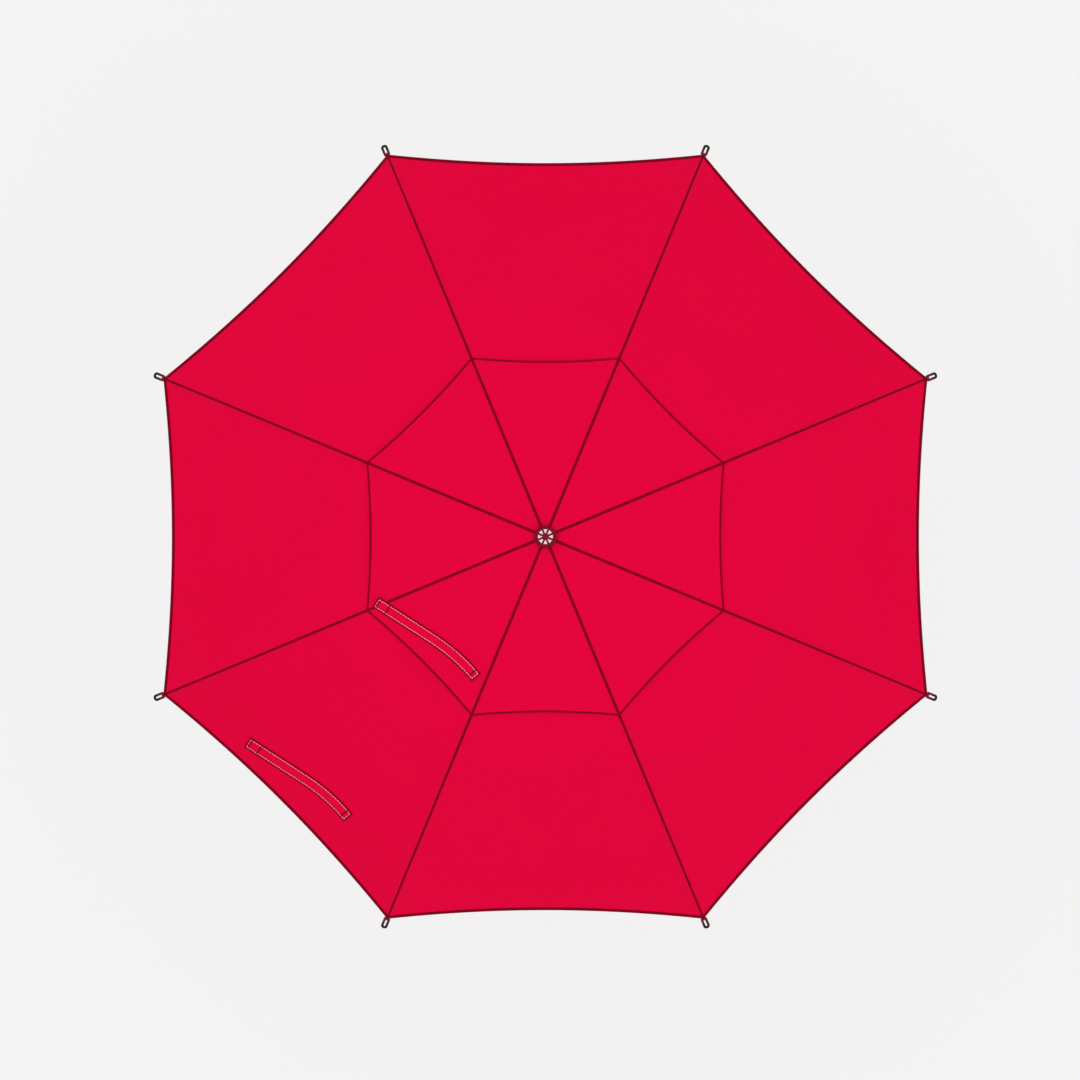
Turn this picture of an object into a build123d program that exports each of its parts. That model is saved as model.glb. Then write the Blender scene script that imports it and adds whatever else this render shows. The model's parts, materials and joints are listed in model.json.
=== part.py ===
from build123d import *

import os
from math import asin, atan2, cos, degrees, hypot, radians, sin

os.makedirs("parts", exist_ok=True)

# Golf umbrella, open, with an eight-panel double (vented) canopy. Millimetres.
# The shaft stands along +Z and the middle of the handle's end face is the origin.
# Rib 1 is at azimuth 22.5 degrees, and panel k lies between ribs k and k + 1.

# Canopy in plan
rib_count = 8
first_rib_deg = 22.5
corner_radius = 594.5  # shaft axis to a corner of the lower canopy
hem_sagitta = 11.5  # how far a hem curves in from the line between its corners
vent_corner_radius = 278.5  # the same two sizes of the upper canopy
vent_sagitta = 5.0
vent_hole_radius = 235.0  # corner of the opening in the lower canopy
cloth_thickness = 1.0
cloth_gap = 0.3  # between layers of cloth, and between the cloth and what it lies on
seam_gap = 0.3  # between two panels, along each rib
canopy_clearance = 0.5  # from the clips to the underside of the lower canopy
spare = 10.0  # how far a cut or a blank runs past what it trims

# Straps that tie the closed umbrella
strap_width = 17.0
strap_thickness = 1.2
strap_panel = 5
strap_run = (94.1, -20.4)  # straight part, across the panel and away from the shaft
strap_hook = (86.2, -4.5)  # from the straight part's end to the free end
vent_strap_start = (1.9, 18.3)  # from the panel's corner along the hem, and in from it
hem_strap_start = (135.1, 37.2)

# Ribs
pivot_offset = 4.0  # from the shaft's surface to the circle that the ribs pivot on
rib_top_slope = 8.0  # degrees below level, at the notch
rib_tip_slope = 40.0  # the same at the canopy's corner
rib_rod_radius = 2.0
rod_gap = 0.5  # from the notch's or the runner's crown to a round rod
eye_radius = 2.2
eye_thickness = 2.0
eye_neck_length = 12.0
eye_neck_share = 0.8  # height of an eye's neck, against the rod's diameter
rod_end_cover = 1.0  # rod end to the blind end of the hole in the tip

# Wire rings that the ribs and the stretchers turn on
wire_radius = 0.7
wire_hole_clearance = 0.15
wire_groove_clearance = 0.05

# Joint of a rib and its stretcher, with a clip that also joins the rib's two rods
joint_radius = 300.0  # shaft axis to the joint
clip_wall = 1.2
clip_back = 12.0
clip_front = 14.0
clip_rod_clearance = 0.1
flex_offset = 4.0  # from the rivet, out along the rib, to where the outer rod bends
mouth_start = 1.5
mouth_clearance = 0.3
lug_radius = 2.4
lug_thickness = 2.0
lug_clearance = 0.6  # from the stretcher's fork to the clip
rivet_radius = 1.0
rivet_clearance = 0.03
rivet_head_radius = 1.9
rivet_head_height = 0.6
pin_clearance = 0.08  # running fit of a lever or a fork on its pin
side_clearance = 0.3

# Stretchers
stretcher_rod_radius = 1.75
cheek_thickness = 1.2
fork_length = 12.0
fork_root_gap = 0.9
fork_height = 4.0

# Rib tips
tip_width = 9.7
tip_thickness = 2.8
tip_reach = 18.8
tip_back = 3.0
tip_eye_width = 2.5
tip_eye_length = 14.8
tip_end_wall = 3.3
tip_socket_length = 14.0
tip_socket_front = 0.8
tip_rod_clearance = 0.1
tip_edge_round = 0.9

# Shaft
shaft_radius = 7.0
shaft_wall = 1.2
shaft_bottom = 20.0
shaft_above_notch = 4.2

# Top notch
crown_radius = 3.8  # around the pivot circle
fixed_clearance = 0.05  # of a piece fixed on the shaft
notch_collar_proud = 0.7  # of the slots' floor
notch_collar_length = 9.0

# Ferrule on top of the canopy
overall_height = 950.0
ferrule_reach = 65.0  # from the ribs' pivots to the ferrule's end
spike_radius = 3.9
spike_round = 2.6
spike_seat_gap = 0.3  # under the spike's shoulder, which keeps the cap on
stem_radius = 3.6
plug_length = 24.0
plug_clearance = 0.1
canopy_hole_clearance = 1.3
washer_margin = 0.7  # of the cap's edge past the washer's
washer_thickness = 1.5
disc_margin = 3.4
disc_thickness = 0.8
cap_radius = 16.4
cap_thickness = 3.2
cap_round = 1.4
window_wall = 0.9  # between the windows and the bore
window_rim = 5.5
window_outer_width = 6.2
window_inner_width = 1.6
ferrule_bore_clearance = 0.1

# Runner
runner_clearance = 0.3
runner_shoulder = 4.0
runner_taper_end = 10.0
runner_wall = 3.2
runner_flange_width = 3.5
runner_flange_start = 56.0
runner_length = 62.0
runner_slot_floor = 3.0
keyway_clearance = 0.4  # past the stud's end
keyway_side = 0.6

# Latch on the runner
latch_drop = 30.0  # below the stretchers' pivots
latch_pin_offset = 1.3  # from the lever's inner face to its pin
latch_pin_radius = 1.0
latch_width = 6.6
latch_gap = 1.0  # from the runner's sleeve to the lever
latch_thickness = 2.6
latch_bend = 3.0
latch_tail = 20.0
latch_tail_flare = 2.8
latch_top = 14.0
tongue_thickness = 2.6
tongue_width = 3.0
tongue_gap = 0.5  # from the shaft to the tongue
window_below = 0.5
window_above = 1.5
ear_thickness = 2.0
ear_radius = 2.4
ear_gap = 0.4
ear_root = 2.1  # of an ear's foot inside the sleeve's surface
stud_radius = 1.2
stud_proud = 1.6
stud_root = 1.0  # inside the shaft's bore
stud_gap = 0.3
stop_proud = 1.4
stop_gap = 0.6

# Handle
grip_radius = 16.0
grip_length = 186.0
grip_round = 3.0
core_wall = 4.4
cap_height = 8.0
end_cap_inset = 0.5
end_cap_round = 2.5
collar_height = 14.0
collar_band_height = 4.6
collar_wall = 2.4
shaft_fit = 0.1


# ---------------------------------------------------------------- derived sizes

panel_deg = 360 / rib_count
half_panel = radians(panel_deg / 2)

shaft_bore = shaft_radius - shaft_wall
pivot_circle = shaft_radius + pivot_offset
notch_height = overall_height - ferrule_reach  # of the ribs' pivots
rod_setback = crown_radius + rod_gap
clip_radius = rib_rod_radius + clip_wall
canopy_rise = clip_radius + canopy_clearance  # from a rib's centreline to the cloth
joint_drop = clip_radius + lug_radius + lug_clearance  # of a stretcher's rivet
fork_open_length = lug_radius + fork_root_gap
crown_slot_width = eye_thickness + 2 * side_clearance
crown_slot_floor = pivot_circle - eye_radius - side_clearance
notch_collar_radius = crown_slot_floor + notch_collar_proud

rib_arc = (corner_radius - pivot_circle) / (
    sin(radians(rib_tip_slope)) - sin(radians(rib_top_slope))
)
arc_centre_r = pivot_circle - rib_arc * sin(radians(rib_top_slope))
arc_centre_z = notch_height - rib_arc * cos(radians(rib_top_slope))
rib_bend_axis = Axis((arc_centre_r, 0, arc_centre_z), (0, 1, 0))


def slope_at(radius, rise=0.0):
    """Slope in degrees of the rib, or of a layer rise above it, at a radius."""
    return degrees(asin((radius - arc_centre_r) / (rib_arc + rise)))


def along_rib(slope, length):
    """Slope a length further out along the rib."""
    return slope + degrees(length / rib_arc)


def rib_point(slope, rise=0.0):
    """Radius and height where the rib has this slope, rise above its centreline."""
    reach = rib_arc + rise
    return (
        arc_centre_r + reach * sin(radians(slope)),
        arc_centre_z + reach * cos(radians(slope)),
    )


def side_plane(radius, height, slope):
    """Plane of a rib, seen from the side: x runs outwards down the slope, y up."""
    return Plane(
        origin=(radius, 0, height),
        x_dir=(cos(radians(slope)), 0, -sin(radians(slope))),
        z_dir=(0, -1, 0),
    )


def cross_plane(radius, height, slope):
    """Plane square across a rod that runs outwards down the slope."""
    return Plane(
        origin=(radius, 0, height),
        x_dir=(0, 1, 0),
        z_dir=(cos(radians(slope)), 0, -sin(radians(slope))),
    )


joint_slope = slope_at(joint_radius)
joint_side = side_plane(*rib_point(joint_slope), joint_slope)
rivet_r, rivet_z = rib_point(joint_slope, -joint_drop)
runner_height = 2 * rivet_z - notch_height  # of the stretchers' lower pivots
stretcher_length = hypot(rivet_r - pivot_circle, rivet_z - runner_height)
stretcher_rise = degrees(atan2(rivet_z - runner_height, rivet_r - pivot_circle))

wire_hole_radius = wire_radius + wire_hole_clearance
wire_groove_radius = wire_radius + wire_groove_clearance
fork_inner = lug_thickness / 2 + side_clearance
fork_outer = fork_inner + cheek_thickness
upper_rise = canopy_rise + cloth_thickness + cloth_gap

canopy_hole_radius = stem_radius + canopy_hole_clearance
hole_slope = slope_at(canopy_hole_radius, upper_rise + cloth_thickness)
washer_base = rib_point(hole_slope, upper_rise + cloth_thickness)[1] + cloth_gap
disc_base = washer_base + washer_thickness
cap_base = disc_base + disc_thickness
spike_base = cap_base + cap_thickness + spike_seat_gap
shaft_top = notch_height + shaft_above_notch

washer_radius = cap_radius - washer_margin
disc_radius = cap_radius - disc_margin
ferrule_bore = stem_radius + ferrule_bore_clearance
window_inner = ferrule_bore + window_wall
window_outer = cap_radius - window_rim

runner_bore = shaft_radius + runner_clearance
runner_sleeve_radius = runner_bore + runner_wall
runner_flange_radius = runner_sleeve_radius + runner_flange_width
runner_bottom = runner_height - runner_length
stud_reach = shaft_radius + stud_proud
stop_reach = shaft_radius + stop_proud
keyway_radius = stud_reach + keyway_clearance
keyway_width = 2 * (stud_radius + keyway_side)

latch_inner = runner_sleeve_radius + latch_gap
latch_outer = latch_inner + latch_thickness
latch_radius = latch_inner + latch_pin_offset  # shaft axis to the latch's pin
tongue_tip = shaft_radius + tongue_gap
latch_height = runner_height - latch_drop
tongue_base = latch_height + latch_top - tongue_thickness
stud_height = tongue_base - stud_gap - stud_radius
stop_height = runner_height + crown_radius + stop_gap + stud_radius
ear_inner = latch_width / 2 + ear_gap
ear_foot = runner_sleeve_radius - ear_root

core_bore = shaft_radius + shaft_fit
core_radius = core_bore + core_wall
collar_base = cap_height + grip_length

print("rib arc radius", round(rib_arc, 2))
print("rivet at", round(rivet_r, 3), round(rivet_z, 3))
print("runner pivots at height", round(runner_height, 3))
print("stretcher length", round(stretcher_length, 3), "rise", round(stretcher_rise, 3))
print("latch pin at height", round(latch_height, 3))
flex_print = rib_point(along_rib(joint_slope, flex_offset))
print("outer rod bends at", round(flex_print[0], 3), round(flex_print[1], 3))
print("spike's round wall from height", round(spike_base, 3), "to", overall_height - spike_round)


# ------------------------------------------------------------------------- ribs

with BuildPart() as rib_inner:
    rod_start = along_rib(rib_top_slope, rod_setback)
    rod_end = along_rib(joint_slope, mouth_start)
    with BuildSketch(cross_plane(*rib_point(rod_start), rod_start)):
        Circle(rib_rod_radius)
    revolve(axis=rib_bend_axis, revolution_arc=rod_end - rod_start)
    eye_side = side_plane(pivot_circle, notch_height, rib_top_slope)
    with BuildSketch(eye_side):
        Circle(eye_radius)
        with Locations((eye_neck_length / 2, 0)):
            Rectangle(eye_neck_length, 2 * rib_rod_radius * eye_neck_share)
    extrude(amount=eye_thickness / 2, both=True)
    with BuildSketch(eye_side):
        Circle(wire_hole_radius)
    extrude(amount=eye_thickness, both=True, mode=Mode.SUBTRACT)

with BuildPart() as rib_outer:
    flex_slope = along_rib(joint_slope, flex_offset)
    rod_end = along_rib(rib_tip_slope, -rod_end_cover)
    with BuildSketch(cross_plane(*rib_point(flex_slope), flex_slope)):
        Circle(rib_rod_radius)
    revolve(axis=rib_bend_axis, revolution_arc=rod_end - flex_slope)
    flex_r, flex_z = rib_point(flex_slope)
    with Locations((flex_r, 0, flex_z)):
        Sphere(rib_rod_radius)

with BuildPart() as clip_body:
    back_of_clip = joint_side.origin - joint_side.x_dir * clip_back
    clip_section = cross_plane(back_of_clip.X, back_of_clip.Z, joint_slope)
    with BuildSketch(clip_section):
        Circle(clip_radius)
    extrude(amount=clip_back + clip_front)
    with BuildSketch(joint_side):
        with Locations((0, -joint_drop)):
            Circle(lug_radius)
        with Locations((0, -joint_drop / 2)):
            Rectangle(2 * lug_radius, joint_drop)
    extrude(amount=lug_thickness / 2, both=True)
    with BuildSketch(clip_section):
        Circle(rib_rod_radius + clip_rod_clearance)
    extrude(amount=clip_back + clip_front, mode=Mode.SUBTRACT)
    # The mouth is open above, so that the outer rod can bend outwards.
    mouth_half = rib_rod_radius + mouth_clearance
    with BuildSketch(joint_side):
        with Locations((mouth_start, -mouth_half)):
            Rectangle(clip_front, 2 * clip_radius, align=(Align.MIN, Align.MIN))
    extrude(amount=mouth_half, both=True, mode=Mode.SUBTRACT)
    with BuildSketch(joint_side):
        with Locations((0, -joint_drop)):
            Circle(rivet_radius + rivet_clearance)
    extrude(amount=lug_thickness, both=True, mode=Mode.SUBTRACT)

rivet_side = side_plane(rivet_r, rivet_z, joint_slope)
head_base = fork_outer + side_clearance

with BuildPart() as clip_rivet:
    with BuildSketch(rivet_side):
        Circle(rivet_radius)
    extrude(amount=head_base, both=True)
    for side in (1, -1):
        with BuildSketch(rivet_side.offset(side * head_base)):
            Circle(rivet_head_radius)
        extrude(amount=side * rivet_head_height)

with BuildPart() as rib_clip:
    add(clip_body.part)
    add(clip_rivet.part)

tip_r, tip_z = rib_point(rib_tip_slope)
tip_side = side_plane(tip_r, tip_z, rib_tip_slope)
tip_flat = Plane(origin=tip_side.origin, x_dir=tip_side.x_dir, z_dir=tip_side.y_dir)
socket_back = tip_side.origin - tip_side.x_dir * tip_socket_length
socket_section = cross_plane(socket_back.X, socket_back.Z, rib_tip_slope)

with BuildPart() as rib_tip:
    loop_length = tip_reach + tip_back
    eye_end = tip_reach - tip_end_wall
    with BuildSketch(tip_flat):
        with Locations((tip_reach - loop_length / 2, 0)):
            SlotOverall(loop_length, tip_width)
        with Locations((eye_end - tip_eye_length / 2, 0)):
            SlotOverall(tip_eye_length, tip_eye_width, mode=Mode.SUBTRACT)
    extrude(amount=tip_thickness / 2, both=True)
    flats = rib_tip.faces().sort_by(Axis(tip_flat.origin, tip_flat.z_dir))
    fillet(flats[0].edges() + flats[-1].edges(), tip_edge_round)
    with BuildSketch(socket_section):
        Circle(canopy_rise - cloth_gap)
    extrude(amount=tip_socket_length + tip_socket_front)
    with BuildSketch(socket_section):
        Circle(rib_rod_radius + tip_rod_clearance)
    extrude(amount=tip_socket_length, mode=Mode.SUBTRACT)


# ------------------------------------------------------------------- stretchers

stretcher_side = side_plane(pivot_circle, runner_height, -stretcher_rise)
fork_side = side_plane(rivet_r, rivet_z, -stretcher_rise)

with BuildPart() as stretcher:
    rod_base = stretcher_side.origin + stretcher_side.x_dir * rod_setback
    rod_length = stretcher_length - rod_setback - fork_length + fork_open_length
    with BuildSketch(cross_plane(rod_base.X, rod_base.Z, -stretcher_rise)):
        Circle(stretcher_rod_radius)
    extrude(amount=rod_length)
    with BuildSketch(stretcher_side):
        Circle(eye_radius)
        with Locations((eye_neck_length / 2, 0)):
            Rectangle(eye_neck_length, 2 * stretcher_rod_radius * eye_neck_share)
    extrude(amount=eye_thickness / 2, both=True)
    with BuildSketch(stretcher_side):
        Circle(wire_hole_radius)
    extrude(amount=eye_thickness, both=True, mode=Mode.SUBTRACT)
    # Fork over the clip's lug
    with BuildSketch(fork_side):
        Circle(lug_radius)
        with Locations((-fork_length / 2, 0)):
            Rectangle(fork_length, fork_height)
    extrude(amount=fork_outer, both=True)
    with BuildSketch(fork_side):
        with Locations((-fork_open_length, 0)):
            Rectangle(
                fork_open_length + 2 * lug_radius,
                4 * lug_radius,
                align=(Align.MIN, Align.CENTER),
            )
    extrude(amount=fork_inner, both=True, mode=Mode.SUBTRACT)
    with BuildSketch(fork_side):
        Circle(rivet_radius + pin_clearance)
    extrude(amount=2 * fork_outer, both=True, mode=Mode.SUBTRACT)

rib_pieces = {
    "rib_inner": rib_inner,
    "rib_outer": rib_outer,
    "rib_clip": rib_clip,
    "rib_tip": rib_tip,
    "stretcher": stretcher,
}
for number in range(rib_count):
    for name, piece in rib_pieces.items():
        with BuildPart() as placed:
            add(piece.part, rotation=(0, 0, first_rib_deg + number * panel_deg))
        placed.part.label = f"{name}_{number + 1}"
        export_step(placed.part, f"parts/{name}_{number + 1}.step")


# ------------------------------------------------------------------------ cloth


def cloth_band(rise, thickness, inner_radius, outer_radius):
    """Section of cloth through a panel's middle, rise above the ribs beside it.

    The panel is level across, so its middle has each rib's heights, and the ribs'
    arc becomes part of an ellipse.
    """
    squeeze = cos(half_panel)
    centre = (arc_centre_r * squeeze, arc_centre_z)
    first = 90 - slope_at(outer_radius, rise)
    sweep = slope_at(outer_radius, rise) - slope_at(inner_radius, rise)
    with BuildSketch(Plane.XZ) as band:
        with BuildLine():
            arcs = [
                EllipticalCenterArc(centre, reach * squeeze, reach, first, arc_size=sweep)
                for reach in (rib_arc + rise, rib_arc + rise + thickness)
            ]
            Line(arcs[0] @ 0, arcs[1] @ 0)
            Line(arcs[0] @ 1, arcs[1] @ 1)
        make_face()
    return band.sketch


def panel_plan(corner, sagitta):
    """Plan of a panel along +X, out to a hem that curves in by the sagitta."""
    chord = corner * cos(half_panel)
    half_chord = corner * sin(half_panel)
    hem_arc = (half_chord**2 + sagitta**2) / (2 * sagitta)
    apex = seam_gap / 2 / sin(half_panel)
    far = chord + sagitta
    half_far = (far - apex) * sin(half_panel) / cos(half_panel)
    with BuildSketch() as plan:
        Polygon((apex, 0), (far, half_far), (far, -half_far), align=None)
        with Locations((chord - sagitta + hem_arc, 0)):
            Circle(hem_arc, mode=Mode.SUBTRACT)
    return plan.sketch


def strap_plan(corner, start):
    """Plan of a strap on the panel along +X, from a start measured at its corner."""
    across = start[0] - corner * sin(half_panel)
    out = corner * cos(half_panel) - start[1]
    bend = (out + strap_run[1], across + strap_run[0])
    end = (bend[0] + strap_hook[1], bend[1] + strap_hook[0])
    with BuildSketch() as plan:
        with BuildLine() as middle:
            straight = Line((out, across), bend)
            TangentArc(bend, end, tangent=straight % 1)
        trace(middle.line, strap_width)
    return plan.sketch


whole_height = 2 * notch_height

with BuildPart() as lower_panel:
    hole_chord = vent_hole_radius * cos(half_panel)
    extrude(
        cloth_band(canopy_rise, cloth_thickness, hole_chord, corner_radius + spare),
        amount=corner_radius / 2,
        both=True,
    )
    extrude(
        panel_plan(corner_radius, hem_sagitta),
        amount=whole_height,
        mode=Mode.INTERSECT,
    )
    with BuildSketch():
        Rectangle(2 * hole_chord, corner_radius)
    extrude(amount=whole_height, mode=Mode.SUBTRACT)

with BuildPart() as lower_canopy:
    with PolarLocations(0, rib_count):
        add(lower_panel.part)
lower_canopy.part.label = "lower_canopy"
export_step(lower_canopy.part, "parts/lower_canopy.step")

with BuildPart() as upper_panel:
    extrude(
        cloth_band(upper_rise, cloth_thickness, 0, vent_corner_radius + spare),
        amount=vent_corner_radius / 2,
        both=True,
    )
    extrude(
        panel_plan(vent_corner_radius, vent_sagitta),
        amount=whole_height,
        mode=Mode.INTERSECT,
    )
    with BuildSketch():
        Circle(canopy_hole_radius)
    extrude(amount=whole_height, mode=Mode.SUBTRACT)

with BuildPart() as upper_canopy:
    with PolarLocations(0, rib_count):
        add(upper_panel.part)
upper_canopy.part.label = "upper_canopy"
export_step(upper_canopy.part, "parts/upper_canopy.step")

straps = {
    "strap_vent": (vent_corner_radius, vent_strap_start, upper_rise),
    "strap_hem": (corner_radius, hem_strap_start, canopy_rise),
}
for name, (corner, start, cloth_rise) in straps.items():
    strap_base = cloth_rise + cloth_thickness + cloth_gap
    with BuildPart() as flat_strap:
        extrude(
            cloth_band(strap_base, strap_thickness, corner / 2, corner),
            amount=corner_radius / 2,
            both=True,
        )
        extrude(strap_plan(corner, start), amount=whole_height, mode=Mode.INTERSECT)
    with BuildPart() as strap:
        add(flat_strap.part, rotation=(0, 0, strap_panel * panel_deg))
    strap.part.label = name
    export_step(strap.part, f"parts/{name}.step")


# ------------------------------------------------------------------------ shaft

with BuildPart() as shaft:
    with BuildSketch(Plane.XY.offset(shaft_bottom)):
        Circle(shaft_radius)
        Circle(shaft_bore, mode=Mode.SUBTRACT)
    extrude(amount=shaft_top - shaft_bottom)
    with BuildSketch(Plane.XZ):
        with Locations((0, stop_height)):
            Circle(stud_radius + fixed_clearance)
    extrude(amount=2 * shaft_radius, both=True, mode=Mode.SUBTRACT)
    with BuildSketch(Plane.YZ):
        with Locations((0, stud_height)):
            Circle(stud_radius + fixed_clearance)
    extrude(amount=2 * shaft_radius, mode=Mode.SUBTRACT)
shaft.part.label = "shaft"
export_step(shaft.part, "parts/shaft.step")

with BuildPart() as stop_pins:
    with BuildSketch(Plane.XZ):
        with Locations((0, stop_height)):
            Circle(stud_radius)
    extrude(amount=stop_reach, both=True)
    with BuildSketch(Plane.YZ.offset(shaft_bore - stud_root)):
        with Locations((0, stud_height)):
            Circle(stud_radius)
    extrude(amount=stud_reach - shaft_bore + stud_root)
stop_pins.part.label = "stop_pins"
export_step(stop_pins.part, "parts/stop_pins.step")


# ----------------------------------------------------------- notch and ferrule


def crown_slots(floor_height):
    """Plan of the radial slots for the eyes of the ribs or the stretchers."""
    slot_reach = 2 * crown_radius + pivot_circle - crown_slot_floor
    middle = crown_slot_floor + slot_reach / 2
    with BuildSketch(Plane.XY.offset(floor_height)) as slots:
        with PolarLocations(middle, rib_count, start_angle=first_rib_deg):
            Rectangle(slot_reach, crown_slot_width)
    return slots.sketch


with BuildPart() as notch:
    bore = shaft_radius + fixed_clearance
    top = notch_height + crown_radius
    collar_meets_crown = notch_height - (
        crown_radius**2 - (pivot_circle - notch_collar_radius) ** 2
    ) ** 0.5
    collar_end = notch_height - notch_collar_length
    with BuildSketch(Plane.XZ):
        with BuildLine():
            Polyline(
                (notch_collar_radius, collar_meets_crown),
                (notch_collar_radius, collar_end),
                (bore, collar_end),
                (bore, top),
                (pivot_circle, top),
            )
            ThreePointArc(
                (pivot_circle, top),
                (pivot_circle + crown_radius, notch_height),
                (notch_collar_radius, collar_meets_crown),
            )
        make_face()
    revolve(axis=Axis.Z)
    extrude(crown_slots(collar_end), amount=whole_height, mode=Mode.SUBTRACT)
    with Locations((0, 0, notch_height)):
        Torus(pivot_circle, wire_groove_radius, mode=Mode.SUBTRACT)
notch.part.label = "notch"
export_step(notch.part, "parts/notch.step")

for name, height in (("notch_wire", notch_height), ("runner_wire", runner_height)):
    with BuildPart() as wire:
        with Locations((0, 0, height)):
            Torus(pivot_circle, wire_radius)
    wire.part.label = name
    export_step(wire.part, f"parts/{name}.step")

with BuildPart() as ferrule_spike:
    with BuildSketch(Plane.XY.offset(shaft_top - plug_length)):
        Circle(shaft_bore - plug_clearance)
    extrude(amount=plug_length)
    with BuildSketch(Plane.XY.offset(shaft_top)):
        Circle(stem_radius)
    extrude(amount=spike_base - shaft_top)
    with BuildSketch(Plane.XY.offset(spike_base)):
        Circle(spike_radius)
    extrude(amount=overall_height - spike_base)
    fillet(ferrule_spike.faces().sort_by(Axis.Z)[-1].edges(), spike_round)
ferrule_spike.part.label = "ferrule_spike"
export_step(ferrule_spike.part, "parts/ferrule_spike.step")

with BuildPart() as rosette_washer:
    with BuildSketch(Plane.XY.offset(washer_base)):
        Circle(washer_radius)
        Circle(ferrule_bore, mode=Mode.SUBTRACT)
    extrude(amount=washer_thickness)
rosette_washer.part.label = "rosette_washer"
export_step(rosette_washer.part, "parts/rosette_washer.step")

with BuildPart() as ferrule_disc:
    with BuildSketch(Plane.XY.offset(disc_base)):
        Circle(disc_radius)
        Circle(ferrule_bore, mode=Mode.SUBTRACT)
    extrude(amount=disc_thickness)
ferrule_disc.part.label = "ferrule_disc"
export_step(ferrule_disc.part, "parts/ferrule_disc.step")

with BuildPart() as ferrule_cap:
    with BuildSketch(Plane.XY.offset(cap_base)):
        Circle(cap_radius)
    extrude(amount=cap_thickness)
    fillet(ferrule_cap.faces().sort_by(Axis.Z)[-1].edges(), cap_round)
    with BuildSketch(Plane.XY.offset(cap_base)):
        Circle(ferrule_bore)
        # One window faces each panel, and a spoke lies over each rib.
        with PolarLocations(0, rib_count):
            Polygon(
                (window_inner, -window_inner_width / 2),
                (window_outer, -window_outer_width / 2),
                (window_outer, window_outer_width / 2),
                (window_inner, window_inner_width / 2),
                align=None,
            )
    extrude(amount=cap_thickness, mode=Mode.SUBTRACT)
ferrule_cap.part.label = "ferrule_cap"
export_step(ferrule_cap.part, "parts/ferrule_cap.step")


# ------------------------------------------------------------- runner and latch

ear_plane = Plane(
    origin=(latch_radius, 0, latch_height), x_dir=(1, 0, 0), z_dir=(0, -1, 0)
)

with BuildPart() as runner:
    top = runner_height + crown_radius
    rim = pivot_circle + crown_radius
    with BuildSketch(Plane.XZ):
        with BuildLine():
            Polyline(
                (rim, runner_height),
                (rim, runner_height - runner_shoulder),
                (runner_sleeve_radius, runner_height - runner_taper_end),
                (runner_sleeve_radius, runner_height - runner_flange_start),
                (runner_flange_radius, runner_height - runner_flange_start),
                (runner_flange_radius, runner_bottom),
                (runner_bore, runner_bottom),
                (runner_bore, top),
                (pivot_circle, top),
            )
            CenterArc((pivot_circle, runner_height), crown_radius, 0, 90)
        make_face()
    revolve(axis=Axis.Z)
    # Ears for the latch's pin
    for side in (1, -1):
        with BuildSketch(ear_plane.offset(side * ear_inner)):
            Circle(ear_radius)
            with Locations((ear_foot - latch_radius, 0)):
                Rectangle(
                    latch_radius - ear_foot,
                    2 * ear_radius,
                    align=(Align.MIN, Align.CENTER),
                )
        extrude(amount=side * ear_thickness)
    with BuildSketch(ear_plane):
        Circle(latch_pin_radius + rivet_clearance)
    extrude(amount=2 * (ear_inner + ear_thickness), both=True, mode=Mode.SUBTRACT)
    slot_floor = runner_height - runner_slot_floor
    extrude(crown_slots(slot_floor), amount=whole_height, mode=Mode.SUBTRACT)
    with Locations((0, 0, runner_height)):
        Torus(pivot_circle, wire_groove_radius, mode=Mode.SUBTRACT)
    # Keyway that passes the shaft's stud, and the latch's window
    with BuildSketch(Plane.XY.offset(runner_bottom)):
        Rectangle(keyway_radius, keyway_width, align=(Align.MIN, Align.CENTER))
    extrude(amount=runner_length + crown_radius, mode=Mode.SUBTRACT)
    with BuildSketch(Plane.XY.offset(tongue_base - window_below)):
        Rectangle(
            runner_sleeve_radius + spare, keyway_width, align=(Align.MIN, Align.CENTER)
        )
    extrude(
        amount=window_below + tongue_thickness + window_above, mode=Mode.SUBTRACT
    )
runner.part.label = "runner"
export_step(runner.part, "parts/runner.step")

with BuildPart() as latch_lever:
    tail_flare = latch_tail_flare
    with BuildSketch(Plane.XZ):
        Polygon(
            (latch_inner, latch_height + latch_top),
            (latch_outer, latch_height + latch_top),
            (latch_outer, latch_height - latch_bend),
            (latch_outer + tail_flare, latch_height - latch_tail),
            (latch_inner + tail_flare, latch_height - latch_tail),
            (latch_inner, latch_height - latch_bend),
            align=None,
        )
    extrude(amount=latch_width / 2, both=True)
    with BuildSketch(Plane.XZ):
        with Locations((tongue_tip, tongue_base)):
            Rectangle(
                latch_outer - tongue_tip, tongue_thickness, align=(Align.MIN, Align.MIN)
            )
    extrude(amount=tongue_width / 2, both=True)
    with BuildSketch(ear_plane):
        Circle(latch_pin_radius + pin_clearance)
    extrude(amount=latch_width, both=True, mode=Mode.SUBTRACT)
latch_lever.part.label = "latch_lever"
export_step(latch_lever.part, "parts/latch_lever.step")

with BuildPart() as latch_pin:
    with BuildSketch(ear_plane):
        Circle(latch_pin_radius)
    extrude(amount=ear_inner + ear_thickness, both=True)
latch_pin.part.label = "latch_pin"
export_step(latch_pin.part, "parts/latch_pin.step")


# ----------------------------------------------------------------------- handle

with BuildPart() as handle_core:
    with BuildSketch(Plane.XY.offset(cap_height)):
        Circle(core_radius)
    extrude(amount=grip_length)
    with BuildSketch(Plane.XY.offset(shaft_bottom)):
        Circle(core_bore)
    extrude(amount=grip_length, mode=Mode.SUBTRACT)
handle_core.part.label = "handle_core"
export_step(handle_core.part, "parts/handle_core.step")

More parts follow.
